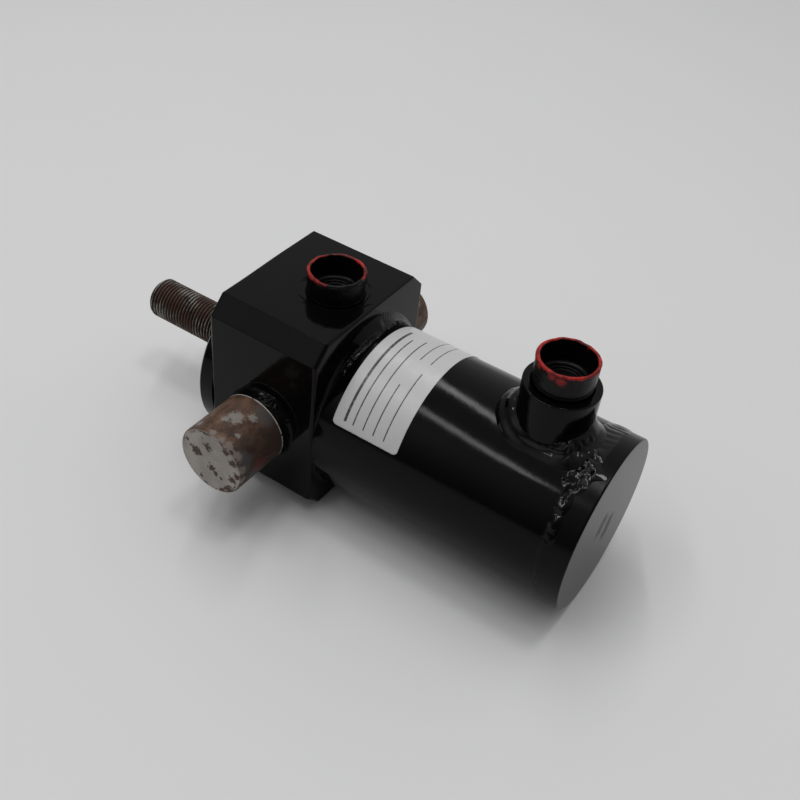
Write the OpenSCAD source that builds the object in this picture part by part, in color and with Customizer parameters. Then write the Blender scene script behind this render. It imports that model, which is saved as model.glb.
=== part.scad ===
// Welded hydraulic cylinder with a trunnion head block, drawn with its rod drawn in.
// The cylinder axis is X with the rod end at -X, the trunnion axis is Y and the ports face +Z.
// The two axes cross at the origin. Lengths are in millimetres.

/* [Barrel] */
// Bore of the barrel tube
bore_d = 50.8; // [46:0.1:54]
// Wall of the barrel tube
tube_wall = 6.35; // [4.5:0.05:9]
// Length of the tube from the head block to the end cap joint
tube_len = 88.9; // [72:0.1:140]
// Thickness of the end cap outside the tube
cap_flange_t = 8; // [6:0.1:16]
// Length of the end cap spigot inside the tube
cap_spigot_len = 8.6; // [4:0.1:11]
// Edge break round the outer face of the end cap
cap_edge = 0.6; // [0.2:0.1:2]

/* [Head block] */
// Length of the block along the cylinder
block_len = 44.45; // [36:0.05:60]
// Width of the block between the trunnion pins
block_w = 63.5; // [58:0.1:90]
// Height of the block above the cylinder axis
block_above = 41.3; // [38:0.1:60]
// Depth of the block below the cylinder axis
block_below = 32.5; // [29:0.1:50]
// Chamfer along the four long edges of the block
block_chamfer = 6.35; // [2:0.05:9]
// Edge break round the two end faces of the block
block_edge = 0.5; // [0.1:0.1:1.5]

/* [Gland] */
// Step from the bore radius out to the gland thread
gland_thread_step = 1.6; // [1:0.1:2.5]
// Length of the gland thread
gland_thread_len = 12.7; // [10:0.1:18]
// Length of the plain gland pilot behind its thread
gland_pilot_len = 9.5; // [8:0.1:12]
// Step from the gland thread out to the flange rim
gland_flange_lip = 5; // [3:0.1:8]
// Thickness of the gland flange
gland_flange_t = 6.35; // [5:0.05:10]
// Chamfer round the gland flange
gland_edge = 0.8; // [0.2:0.1:2]
// Land left between the grooves for the rod seals
gland_land = 2.5; // [1.5:0.1:3]
// Distance from the inner end of the gland to its static seal groove
gland_seal_land = 2.2; // [1.5:0.1:3]
// Number of pin wrench holes in the flange
wrench_hole_count = 4; // [2:1:6]
// Diameter of a pin wrench hole
wrench_hole_d = 6.4; // [4:0.1:8]
// Depth of a pin wrench hole
wrench_hole_depth = 4.5; // [3:0.1:6]
// Radius of the circle of pin wrench holes
wrench_circle_r = 22.5; // [18:0.1:24]

/* [Rod] */
// Diameter of the rod
rod_d = 15.875; // [13:0.005:18]
// Length of the rod that stands out of the gland when drawn in
rod_reach = 47.9; // [20:0.1:90]
// Outside diameter of the rod end thread
rod_thread_d = 15.5; // [12:0.1:15.5]
// Length of the rod end thread
rod_thread_len = 46.5; // [15:0.1:60]
// Chamfer on the tip of the rod
rod_tip_chamfer = 1.3; // [0.3:0.1:2]
// Travel of the rod
stroke = 38.1; // [10:0.1:55]
// Diameter of the stud that carries the piston
stud_d = 12.7; // [9:0.1:13]
// Length of the stud behind the nut
stud_past_nut = 2.9; // [1:0.1:5]
// Width of the piston nut across its flats
nut_af = 19.05; // [16:0.05:24]
// Thickness of the piston nut
nut_t = 11.1; // [8:0.1:14]
// Wall of the stop tube on the rod
stop_tube_wall = 4.7; // [2:0.1:8]

/* [Piston] */
// Length of the piston
piston_len = 25.4; // [22:0.1:40]
// Gap between the piston and the bore
piston_gap = 0.25; // [0.15:0.05:0.5]
// Land at each end of the piston
piston_land = 3; // [2:0.1:4]
// Edge chamfer of the piston
piston_edge = 0.8; // [0.2:0.1:1.5]
// Width of the piston wear ring groove
wear_groove_w = 6.4; // [4:0.1:7]
// Depth of the piston wear ring groove
wear_groove_depth = 2.4; // [1.5:0.1:3]
// Slit across the piston wear ring
wear_ring_slit = 1.5; // [0.5:0.1:3]
// Width of the piston seal groove
seal_groove_w = 6.4; // [4:0.1:7]
// Depth of the piston seal groove
seal_groove_depth = 4.8; // [4:0.1:6]
// Section of the round expander under the piston seal
expander_d = 2.3; // [1.5:0.1:2.8]

/* [Rod seals] */
// Depth of the wiper seat in the gland face
wiper_w = 5.2; // [4:0.1:6]
// Radial section of the wiper
wiper_section = 3.4; // [2.5:0.1:4.5]
// Length of the wiper lip in front of the gland
wiper_lip = 1; // [0.5:0.1:2]
// Thickness of the wiper lip at its edge
wiper_lip_t = 0.85; // [0.5:0.05:1.2]
// Length of the wiper that runs on the rod behind the gland face
wiper_land = 1.7; // [1:0.1:3]
// Radial relief behind the wiper lip
wiper_relief = 1.1; // [0.5:0.1:1.6]
// Width of the rod seal groove
rod_seal_w = 6.6; // [5:0.1:7.5]
// Radial section of the rod seal
rod_seal_section = 4.2; // [3:0.1:5]
// Thickness of each lip of the rod seal
rod_seal_lip_t = 1.35; // [0.9:0.05:1.45]
// Depth of the notch between the lips
rod_seal_notch = 3.6; // [2:0.1:4.2]
// Length of the lip edge that runs on the rod
rod_seal_edge = 1.9; // [1:0.1:3]
// Radial relief at the heel of the rod seal
rod_seal_heel = 0.45; // [0.2:0.05:0.8]
// Width of the rod wear ring groove
rod_wear_w = 7.6; // [5:0.1:8.5]
// Radial section of the rod wear ring
rod_wear_section = 2.4; // [1.5:0.1:3]
// Section of the static seal on the gland pilot
gland_o_ring_d = 2.6; // [1.8:0.1:3]
// Width of the backup ring beside the static seal
backup_ring_w = 1.4; // [1:0.1:2]
// Section of the static seal inside the piston
piston_o_ring_d = 1.8; // [1.2:0.1:2.4]

/* [Trunnions] */
// Diameter of a trunnion pin
pin_d = 26; // [20:0.1:32]
// Length that a trunnion pin stands out of the block
pin_len = 26.4; // [18:0.1:50]
// Chamfer on the end of a trunnion pin
pin_chamfer = 1.2; // [0.3:0.1:3]
// Depth of the weld bevel round the root of a trunnion pin
pin_bevel = 3.2; // [1.5:0.1:5]

/* [Ports] */
// Offset of the head port from the trunnion axis
head_port_x = 6.6; // [5.5:0.1:9]
// Distance of the rear port from the end cap joint
rear_port_back = 18.1; // [16:0.1:24]
// Diameter of the hole in a port thread
port_d = 17.5; // [14:0.1:18]
// Depth of a port thread
port_depth = 11; // [9:0.1:12]
// Diameter of the port mouth
port_mouth_d = 20.5; // [18.5:0.1:21]
// Depth of the tapered port mouth
port_mouth_depth = 2.5; // [1.5:0.1:4]
// Diameter of the passage from a port to the bore
passage_d = 9.5; // [6:0.1:10]
// Diameter of the rear port boss
boss_d = 25.4; // [24:0.1:30]
// Height of the rear port boss above the tube
boss_h = 15.9; // [13:0.1:25]
// Edge chamfer of the rear port boss
boss_edge = 0.6; // [0.2:0.1:1.5]

/* [Port plugs] */
// Height of a plug neck above its port
plug_neck_h = 8.9; // [5:0.1:14]
// Flare of the plug neck radius from the port to its rim
plug_flare = 0.2; // [0:0.05:1]
// Wall of a plug
plug_wall = 1.6; // [1:0.1:2.2]
// Depth of a plug shank inside its port
plug_shank_len = 8.5; // [5:0.1:9]
// Taper of the plug shank radius down to its tip
plug_taper = 0.4; // [0:0.05:0.8]
// Depth of the round recess in the plug floor
plug_recess = 0.6; // [0.2:0.1:1]
// Share of the plug floor radius that the recess takes
plug_recess_share = 0.7; // [0.5:0.05:0.85]
// Height that the rear plug stands out of its seat
rear_plug_proud = 1.2; // [0:0.1:3]

/* [Welds] */
// Leg of the weld between block and tube, up the block face
block_weld_up = 4.4; // [2:0.1:5]
// Leg of the weld between block and tube, along the tube
block_weld_along = 3.6; // [2:0.1:5]
// Bevel on the tube end under the block weld
block_weld_bevel = 2.5; // [1:0.1:4]
// Half width of the end cap weld
cap_weld_half = 2.6; // [1.5:0.1:4]
// Depth of the end cap weld groove
cap_weld_depth = 3.5; // [2:0.1:4.5]
// Height of the end cap weld above the tube
cap_weld_crown = 0.7; // [0.3:0.1:2]
// Leg of the boss weld along the barrel
boss_weld_along = 5.6; // [3:0.1:7]
// Leg of the boss weld round the barrel
boss_weld_round = 3.6; // [2:0.1:5]
// Leg of the boss weld up the boss
boss_weld_up = 4.4; // [2:0.1:6]
// Leg of a trunnion weld out over the block
pin_weld_out = 2.6; // [2:0.1:7]
// Leg of a trunnion weld along the pin
pin_weld_along = 4.3; // [2.5:0.1:7]
// Ledge of a trunnion weld above the pin
pin_weld_ledge = 0.35; // [0.1:0.05:1]

/* [Data label] */
// Distance of the label from the head block
label_gap = 5.8; // [5.5:0.1:12]
// Width of the label along the barrel
label_w = 25.8; // [10:0.1:32]
// Length of the label round the barrel
label_len = 76.2; // [40:0.1:90]
// Angle from the top of the barrel to the near end of the label
label_near_angle = 65; // [30:1:90]
// Thickness of the label
label_t = 0.15; // [0.1:0.05:0.4]

/* [Clearances] */
// Gap between two faces that slide or turn on each other
run_gap = 0.05; // [0.02:0.01:0.09]
// Gap of a piece in its groove or seat
seat_gap = 0.05; // [0.02:0.01:0.1]
// Gap between the rod and the gland metal
rod_gap = 0.2; // [0.1:0.05:0.4]
// Gap left where an end of travel meets its stop
stop_gap = 0.3; // [0.1:0.05:0.6]
// Gap between a plug and its port
plug_gap = 0.15; // [0.05:0.05:0.3]

/* [Hidden] */
$fn = 96;
// Overrun of a cut past the face that it opens
cut = 1;
// Steps in a quarter of a weld bead
bead_steps = 5;
// Steps round the saddle weld at the rear port
saddle_steps = 36;
// Depth that the saddle weld is drawn into the tube and boss before they are cut from it
weld_sink = 0.3;

bore_r = bore_d / 2;
tube_r = bore_r + tube_wall;
rod_r = rod_d / 2;
stud_r = stud_d / 2;
pin_r = pin_d / 2;
boss_r = boss_d / 2;
passage_r = passage_d / 2;

// Places along the cylinder, from the rod end to the end cap
block_front_x = -block_len / 2;
block_rear_x = block_len / 2;
tube_end_x = block_rear_x + tube_len;
rear_face_x = tube_end_x + cap_flange_t;
cap_inner_x = tube_end_x - cap_spigot_len;
rear_port_x = tube_end_x - rear_port_back;

// Gland places and radii
gland_front_x = block_front_x - gland_flange_t;
gland_step_x = block_front_x + gland_thread_len;
gland_inner_x = gland_step_x + gland_pilot_len;
gland_thread_r = bore_r + gland_thread_step;
gland_flange_r = gland_thread_r + gland_flange_lip;
gland_pilot_r = bore_r - seat_gap;
gland_groove_w = gland_o_ring_d + backup_ring_w + 3 * seat_gap;
gland_groove_end_x = gland_inner_x - gland_seal_land;
gland_groove_x = gland_groove_end_x - gland_groove_w;
gland_groove_r = bore_r - gland_o_ring_d - 2 * seat_gap;
rod_seal_x = gland_front_x + wiper_w + gland_land;
rod_wear_x = rod_seal_x + rod_seal_w + gland_land;

// Rod and piston places with the rod drawn in
rod_tip_x = gland_front_x - rod_reach;
stud_end_x = cap_inner_x - stop_gap;
nut_rear_x = stud_end_x - stud_past_nut;
piston_rear_x = nut_rear_x - nut_t;
piston_front_x = piston_rear_x - piston_len;
stop_tube_x = gland_inner_x + stroke + stop_gap;

// Piston radii and groove places
piston_r = bore_r - piston_gap;
ring_r = bore_r - run_gap;
wear_groove_x = piston_front_x + piston_land;
wear_groove_r = piston_r - wear_groove_depth;
seal_groove_x = piston_rear_x - piston_land - seal_groove_w;
seal_groove_r = piston_r - seal_groove_depth;
expander_mid_r = seal_groove_r + run_gap + expander_d / 2;
seal_inner_r = seal_groove_r + expander_d + 2 * run_gap;
piston_bore_r = stud_r + seat_gap;
piston_o_ring_x = (piston_front_x + piston_rear_x) / 2;

// Port and plug radii
port_r = port_d / 2;
port_mouth_r = port_mouth_d / 2;
boss_top = tube_r + boss_h;
plug_base_r = port_mouth_r - plug_gap;
plug_shank_r = port_r - plug_gap;
plug_rim_r = plug_base_r + plug_flare;

label_start_x = block_rear_x + label_gap;
label_angle = label_len / tube_r * 180 / PI;

paint = "#17181a";
steel = "#8d8b86";
rusty = "#8a6a55";
chrome = "#c9cccf";
rubber = "#26272a";
urethane = "#c9a24a";
nylon = "#3b5a4a";
plug_red = "#b53a3c";
label_white = "#e8e9ea";

// Places children with their +Z axis along the cylinder, starting at x
module along_x(x) {
    translate([x, 0, 0]) rotate([0, 90, 0]) children();
}

// Round bar on the cylinder axis
module bar_x(x0, x1, r) {
    along_x(x0) cylinder(h = x1 - x0, r = r);
}

// Taper on the cylinder axis
module taper_x(x0, x1, r0, r1) {
    along_x(x0) cylinder(h = x1 - x0, r1 = r0, r2 = r1);
}

// Plain ring on the cylinder axis
module ring_x(x0, x1, inner_r, outer_r) {
    difference() {
        bar_x(x0, x1, outer_r);
        bar_x(x0 - cut, x1 + cut, inner_r);
    }
}

// Solid turned about the cylinder axis from [radius, distance] points
module turned_x(x, outline) {
    along_x(x) rotate_extrude() polygon(outline);
}

// Round ring seal on the cylinder axis
module o_ring_x(x, mid_r, section_d) {
    along_x(x) rotate_extrude() translate([mid_r, 0]) circle(d = section_d);
}

// Outline of the head block across the cylinder, drawn in by a margin
module block_outline(margin = 0) {
    half = block_w / 2 - margin;
    top = block_above - margin;
    bottom = -block_below + margin;
    corner = block_chamfer - margin * (2 - sqrt(2));
    polygon([
        [half - corner, top], [half, top - corner],
        [half, bottom + corner], [half - corner, bottom],
        [corner - half, bottom], [-half, bottom + corner],
        [-half, top - corner], [corner - half, top]
    ]);
}

// Prism along the cylinder with the outline of the head block
module block_prism(x0, x1, margin = 0) {
    translate([x0, 0, 0]) rotate([90, 0, 90]) linear_extrude(x1 - x0) block_outline(margin);
}

// Threaded port opening downwards from a seat, with a tapered mouth and a passage to the bore
module port_cut(x, seat_z) {
    translate([x, 0, 0]) {
        cylinder(h = seat_z, r = passage_r);
        translate([0, 0, seat_z - port_depth]) cylinder(h = port_depth + cut, r = port_r);
        translate([0, 0, seat_z - port_mouth_depth])
            cylinder(h = port_mouth_depth, r1 = port_r, r2 = port_mouth_r);
    }
}

module barrel_tube() {
    color(paint) difference() {
        bar_x(block_rear_x, tube_end_x, tube_r);
        bar_x(block_rear_x - cut, tube_end_x + cut, bore_r);
        difference() {
            bar_x(block_rear_x - cut, block_rear_x + block_weld_along, tube_r + cut);
            taper_x(block_rear_x, block_rear_x + block_weld_along, tube_r - block_weld_bevel, tube_r);
        }
        difference() {
            bar_x(tube_end_x - cap_weld_half, tube_end_x + cut, tube_r + cut);
            taper_x(tube_end_x - cap_weld_half, tube_end_x, tube_r, tube_r - cap_weld_depth);
        }
        translate([rear_port_x, 0, 0]) cylinder(h = boss_top, r = passage_r);
    }
}

// Outline of the end cap: spigot, weld bevel and rim
module rear_cap() {
    color(paint) turned_x(cap_inner_x, [
        [0, 0], [bore_r, 0], [bore_r, cap_spigot_len], [tube_r - cap_weld_depth, cap_spigot_len],
        [tube_r, cap_spigot_len + cap_weld_half], [tube_r, cap_spigot_len + cap_flange_t - cap_edge],
        [tube_r - cap_edge, cap_spigot_len + cap_flange_t], [0, cap_spigot_len + cap_flange_t]
    ]);
}

// Crowned bead in the groove between tube and end cap
module rear_cap_weld() {
    crown = [for (i = [0 : 2 * bead_steps])
        let (turn = 90 * i / bead_steps)
        [tube_r + cap_weld_crown * sin(turn), -cap_weld_half * cos(turn)]];
    color(paint) turned_x(tube_end_x, concat(crown, [[tube_r - cap_weld_depth, 0]]));
}

module head_block() {
    color(paint) difference() {
        hull() {
            block_prism(block_front_x, block_rear_x, block_edge);
            block_prism(block_front_x + block_edge, block_rear_x - block_edge);
        }
        bar_x(block_front_x - cut, block_rear_x + cut, bore_r);
        bar_x(block_front_x - cut, gland_step_x, gland_thread_r + seat_gap);
        port_cut(head_port_x, block_above);
    }
}

// Rounded fillet between the block face and the tube, kept inside the outline of the block
module block_weld() {
    face = [for (i = [0 : bead_steps]) let (turn = 90 * i / bead_steps)
        [tube_r + block_weld_up * cos(turn), block_weld_along * sin(turn)]];
    bevel_fill = [[tube_r - block_weld_bevel, 0], [tube_r, 0], [tube_r, block_weld_along]];
    color(paint) union() {
        turned_x(block_rear_x, bevel_fill);
        intersection() {
            turned_x(block_rear_x, concat([[tube_r - block_weld_bevel, 0]], face));
            block_prism(block_rear_x, block_rear_x + block_weld_along + cut);
        }
    }
}

// Pin along +Z with a weld bevel at its root and a chamfered end
module trunnion_pin() {
    color(rusty) {
        cylinder(h = pin_weld_along, r1 = pin_r - pin_bevel, r2 = pin_r);
        translate([0, 0, pin_weld_along]) cylinder(h = pin_len - pin_chamfer - pin_weld_along, r = pin_r);
        translate([0, 0, pin_len - pin_chamfer])
            cylinder(h = pin_chamfer, r1 = pin_r, r2 = pin_r - pin_chamfer);
    }
}

// Rounded fillet round the root of a pin that stands along +Z
module trunnion_weld() {
    ledge_r = pin_r + pin_weld_ledge;
    face = [for (i = [0 : bead_steps])
        let (turn = 90 * i / bead_steps)
        [ledge_r + (pin_weld_out - pin_weld_ledge) * cos(turn), pin_weld_along * sin(turn)]];
    color(paint) rotate_extrude()
        polygon(concat([[pin_r - pin_bevel, 0]], face, [[pin_r, pin_weld_along]]));
}

// Carries a piece that stands along +Z out to the near or far side of the block
module on_side(near) {
    translate([0, (near ? -1 : 1) * block_w / 2, 0]) rotate([near ? 90 : -90, 0, 0]) children();
}

module trunnion_pin_near() { on_side(true) trunnion_pin(); }

module trunnion_pin_far() { on_side(false) trunnion_pin(); }

module trunnion_weld_near() { on_side(true) trunnion_weld(); }

module trunnion_weld_far() { on_side(false) trunnion_weld(); }

module rear_port_boss() {
    color(paint) difference() {
        translate([rear_port_x, 0, 0]) {
            cylinder(h = boss_top - boss_edge, r = boss_r);
            translate([0, 0, boss_top - boss_edge])
                cylinder(h = boss_edge, r1 = boss_r, r2 = boss_r - boss_edge);
        }
        bar_x(block_rear_x, rear_face_x, tube_r);
        port_cut(rear_port_x, boss_top);
    }
}

// Height of the tube at a distance to the side of its crown
function tube_height(side) = sqrt(tube_r * tube_r - side * side);

// Ring of the saddle weld at one turn about the boss: toe, rounded face, then back under the bead
function saddle_ring(turn) =
    let (
        leg = sqrt(pow(boss_weld_along * cos(turn), 2) + pow(boss_weld_round * sin(turn), 2)),
        toe_r = boss_r + leg,
        inner_r = boss_r - weld_sink,
        toe_z = tube_height(toe_r * sin(turn)) - weld_sink,
        root_z = tube_height(boss_r * sin(turn)),
        face = [for (i = [0 : bead_steps])
            let (
                share = i / bead_steps,
                inward = 1 - (1 - share + cos(90 * share)) / 2,
                upward = (share + sin(90 * share)) / 2
            )
            [toe_r + (inner_r - toe_r) * inward, toe_z + (root_z + boss_weld_up - toe_z) * upward]],
        outline = concat(face, [[inner_r, root_z - 2 * weld_sink], [toe_r, toe_z - 2 * weld_sink]])
    )
    [for (point = outline) [rear_port_x + point[0] * cos(turn), point[0] * sin(turn), point[1]]];

// Saddle weld between the boss and the tube, ending where the end cap weld begins
module rear_boss_weld() {
    rings = [for (k = [0 : saddle_steps - 1]) saddle_ring(360 * k / saddle_steps)];
    count = len(rings[0]);
    points = [for (ring = rings) each ring];
    faces = [for (k = [0 : saddle_steps - 1]) for (i = [0 : count - 1])
        let (
            next_k = (k + 1) % saddle_steps,
            next_i = (i + 1) % count,
            a = k * count + i,
            b = k * count + next_i,
            c = next_k * count + next_i,
            d = next_k * count + i
        )
        each [[a, b, c], [a, c, d]]];
    color(paint) difference() {
        polyhedron(points, faces);
        bar_x(block_rear_x, rear_face_x, tube_r);
        translate([rear_port_x, 0, 0]) cylinder(h = boss_top, r = boss_r);
        bar_x(tube_end_x - cap_weld_half, rear_face_x + tube_r, boss_top);
    }
}

module gland() {
    color(paint) difference() {
        union() {
            taper_x(gland_front_x, gland_front_x + gland_edge, gland_flange_r - gland_edge, gland_flange_r);
            bar_x(gland_front_x + gland_edge, block_front_x, gland_flange_r);
            bar_x(block_front_x, gland_step_x, gland_thread_r);
            bar_x(gland_step_x, gland_inner_x, gland_pilot_r);
        }
        bar_x(gland_front_x - cut, gland_inner_x + cut, rod_r + rod_gap);
        bar_x(gland_front_x - cut, gland_front_x + wiper_w, rod_r + wiper_section);
        bar_x(rod_seal_x, rod_seal_x + rod_seal_w, rod_r + rod_seal_section);
        bar_x(rod_wear_x, rod_wear_x + rod_wear_w, rod_r + rod_wear_section);
        ring_x(gland_groove_x, gland_groove_end_x, gland_groove_r, bore_r + cut);
        for (i = [0 : wrench_hole_count - 1])
            rotate([360 * (i + 0.5) / wrench_hole_count, 0, 0])
                translate([0, 0, wrench_circle_r])
                    bar_x(gland_front_x - cut, gland_front_x + wrench_hole_depth, wrench_hole_d / 2);
    }
}

module gland_o_ring() {
    color(rubber) o_ring_x(gland_groove_end_x - seat_gap - gland_o_ring_d / 2,
        gland_groove_r + seat_gap + gland_o_ring_d / 2, gland_o_ring_d);
}

module gland_backup_ring() {
    start = gland_groove_x + seat_gap;
    color(nylon) ring_x(start, start + backup_ring_w, gland_groove_r + seat_gap, gland_pilot_r);
}

// Lip seal with its open side towards the pressure
module rod_seal() {
    inner = rod_r + run_gap;
    outer = rod_r + rod_seal_section - seat_gap;
    middle = (inner + outer) / 2;
    length = rod_seal_w - 2 * seat_gap;
    color(urethane) turned_x(rod_seal_x + seat_gap, [
        [inner + rod_seal_heel, 0], [outer, 0], [outer, length],
        [outer - rod_seal_lip_t, length], [middle, length - rod_seal_notch],
        [inner + rod_seal_lip_t, length], [inner, length], [inner, length - rod_seal_edge]
    ]);
}

// Wiper in the gland face with a lip that points out along the rod
module rod_wiper() {
    inner = rod_r + run_gap;
    outer = rod_r + wiper_section - seat_gap;
    relief = inner + wiper_relief;
    color(urethane) turned_x(gland_front_x, [
        [inner, -wiper_lip], [inner + wiper_lip_t, -wiper_lip], [outer, 0],
        [outer, wiper_w - seat_gap], [relief, wiper_w - seat_gap], [relief, wiper_land]
    ]);
}

module rod_wear_ring() {
    color(nylon) ring_x(rod_wear_x + seat_gap, rod_wear_x + rod_wear_w - seat_gap,
        rod_r + run_gap, rod_r + rod_wear_section - seat_gap);
}

module piston_rod() {
    thread_end_x = rod_tip_x + rod_thread_len;
    color(chrome) {
        taper_x(rod_tip_x, rod_tip_x + rod_tip_chamfer,
            rod_thread_d / 2 - rod_tip_chamfer, rod_thread_d / 2);
        bar_x(rod_tip_x + rod_tip_chamfer, thread_end_x, rod_thread_d / 2);
        bar_x(thread_end_x, piston_front_x, rod_r);
        bar_x(piston_front_x, stud_end_x, stud_r);
    }
}

module stop_tube() {
    color(steel) ring_x(stop_tube_x, piston_front_x, rod_r + seat_gap, rod_r + stop_tube_wall);
}

module piston() {
    groove_half = piston_o_ring_d / 2 + seat_gap;
    color(steel) difference() {
        union() {
            taper_x(piston_front_x, piston_front_x + piston_edge, piston_r - piston_edge, piston_r);
            bar_x(piston_front_x + piston_edge, piston_rear_x - piston_edge, piston_r);
            taper_x(piston_rear_x - piston_edge, piston_rear_x, piston_r, piston_r - piston_edge);
        }
        bar_x(piston_front_x - cut, piston_rear_x + cut, piston_bore_r);
        bar_x(piston_o_ring_x - groove_half, piston_o_ring_x + groove_half,
            stud_r + piston_o_ring_d + 2 * seat_gap);
        ring_x(wear_groove_x, wear_groove_x + wear_groove_w, wear_groove_r, bore_r);
        ring_x(seal_groove_x, seal_groove_x + seal_groove_w, seal_groove_r, bore_r);
    }
}

module piston_seal() {
    color(urethane) ring_x(seal_groove_x + run_gap, seal_groove_x + seal_groove_w - run_gap,
        seal_inner_r, ring_r);
}

module piston_seal_expander() {
    color(rubber) o_ring_x(seal_groove_x + seal_groove_w / 2, expander_mid_r, expander_d);
}

module piston_wear_ring() {
    color(nylon) difference() {
        ring_x(wear_groove_x + run_gap, wear_groove_x + wear_groove_w - run_gap,
            wear_groove_r + run_gap, ring_r);
        translate([wear_groove_x + wear_groove_w / 2, 0, 0]) rotate([0, 0, 45])
            translate([-bore_r, -wear_ring_slit / 2, 0]) cube([bore_d, wear_ring_slit, bore_d]);
    }
}

module piston_o_ring() {
    color(rubber) o_ring_x(piston_o_ring_x, stud_r + seat_gap + piston_o_ring_d / 2, piston_o_ring_d);
}

// Hexagon nut with chamfered corners
module piston_nut() {
    corner_r = nut_af / sqrt(3);
    bevel = corner_r - nut_af / 2;
    color(steel) difference() {
        intersection() {
            along_x(piston_rear_x) cylinder(h = nut_t, r = corner_r, $fn = 6);
            taper_x(piston_rear_x, nut_rear_x, nut_af / 2 + nut_t / sqrt(3) + bevel, nut_af / 2);
        }
        bar_x(piston_rear_x - cut, nut_rear_x + cut, stud_r + seat_gap);
    }
}

// Hollow plug: a flared neck above the port, a recessed floor and a hollow tapered shank below
module port_plug(x, seat_z) {
    floor_r = plug_base_r - plug_wall;
    shank_inner_r = plug_shank_r - plug_taper - plug_wall;
    color(plug_red) translate([x, 0, seat_z]) difference() {
        rotate_extrude() polygon([
            [0, -plug_shank_len], [plug_shank_r - plug_taper, -plug_shank_len],
            [plug_shank_r, -port_mouth_depth], [plug_base_r, 0], [plug_rim_r, plug_neck_h],
            [plug_rim_r - plug_wall, plug_neck_h], [floor_r, 0],
            [floor_r * plug_recess_share, 0], [floor_r * plug_recess_share, -plug_recess],
            [0, -plug_recess]
        ]);
        translate([0, 0, -plug_shank_len - cut])
            cylinder(h = plug_shank_len - port_mouth_depth + cut, r = shank_inner_r);
    }
}

module head_port_plug() { port_plug(head_port_x, block_above); }

module rear_port_plug() { port_plug(rear_port_x, boss_top + rear_plug_proud); }

// Thin label bent round the tube, from its near end up over the crown
module data_label() {
    color(label_white) along_x(label_start_x) rotate([0, 0, 180 + label_near_angle - label_angle])
        rotate_extrude(angle = label_angle) translate([tube_r, 0]) square([label_t, label_w]);
}

barrel_tube();
rear_cap();
rear_cap_weld();
head_block();
block_weld();
trunnion_pin_near();
trunnion_pin_far();
trunnion_weld_near();
trunnion_weld_far();
rear_port_boss();
rear_boss_weld();
gland();
gland_o_ring();
gland_backup_ring();
rod_seal();
rod_wiper();
rod_wear_ring();
piston_rod();
stop_tube();
piston();
piston_seal();
piston_seal_expander();
piston_wear_ring();
piston_o_ring();
piston_nut();
head_port_plug();
rear_port_plug();
data_label();
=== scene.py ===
"""Looks of a trunnion-mounted hydraulic cylinder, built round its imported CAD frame.

Lengths in the pieces are in millimetres along the frame's axes: X from the rod end to the end cap,
-Y towards the near trunnion pin, Z up through the ports. They become metres when a mesh is made.
"""

import math

import bmesh
import bpy
import numpy as np
from mathutils import Matrix


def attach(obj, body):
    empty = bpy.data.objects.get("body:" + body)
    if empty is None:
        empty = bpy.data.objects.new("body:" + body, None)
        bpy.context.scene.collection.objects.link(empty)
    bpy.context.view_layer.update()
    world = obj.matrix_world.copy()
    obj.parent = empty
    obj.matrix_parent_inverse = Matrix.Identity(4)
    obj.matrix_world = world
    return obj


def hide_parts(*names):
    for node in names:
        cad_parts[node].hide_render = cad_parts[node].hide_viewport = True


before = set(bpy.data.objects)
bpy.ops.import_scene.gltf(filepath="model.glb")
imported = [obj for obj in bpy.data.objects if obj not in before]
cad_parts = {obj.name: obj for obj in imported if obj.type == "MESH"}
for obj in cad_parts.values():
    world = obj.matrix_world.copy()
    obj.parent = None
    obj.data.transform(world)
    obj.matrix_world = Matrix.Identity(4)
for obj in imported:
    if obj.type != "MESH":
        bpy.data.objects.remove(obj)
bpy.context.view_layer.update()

MM = 0.001
BODY = "cylinder_body"

# sizes that the pieces share with the CAD frame
TUBE_R, BORE_R = 31.75, 25.4
BLOCK_X, BLOCK_Y, BLOCK_TOP, BLOCK_LOW, BLOCK_CHAMFER = 22.225, 31.75, 41.3, -32.5, 6.35
TUBE_END, REAR_FACE, CAP_SPIGOT = 111.125, 119.125, 8.6
PIN_R, PIN_END, PIN_PAINT = 13.0, 58.15, 36.05
PORT_R, PORT_MOUTH_R, PASSAGE_R = 8.75, 10.25, 4.75
PORT_DEPTH, MOUTH_DEPTH, PASSAGE_DEPTH = 11.0, 2.5, 15.5
HEAD_PORT_X = 6.6
BOSS_X, BOSS_R, BOSS_TOP, REAR_PLUG_PROUD = 93.025, 12.7, 47.65, 1.2
ROD_TIP, THREAD_END, PISTON_FRONT, STUD_END = -76.475, -29.975, 62.8, 102.2
ROD_R, STUD_R, PITCH, THREAD_ROOT_R, THREAD_CREST_R = 7.9375, 6.35, 1.411, 7.06, 7.86
LABEL_X0, LABEL_X1, LABEL_NEAR, LABEL_FAR = 28.025, 53.825, 65.0, -72.5


# Surfaces

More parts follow.
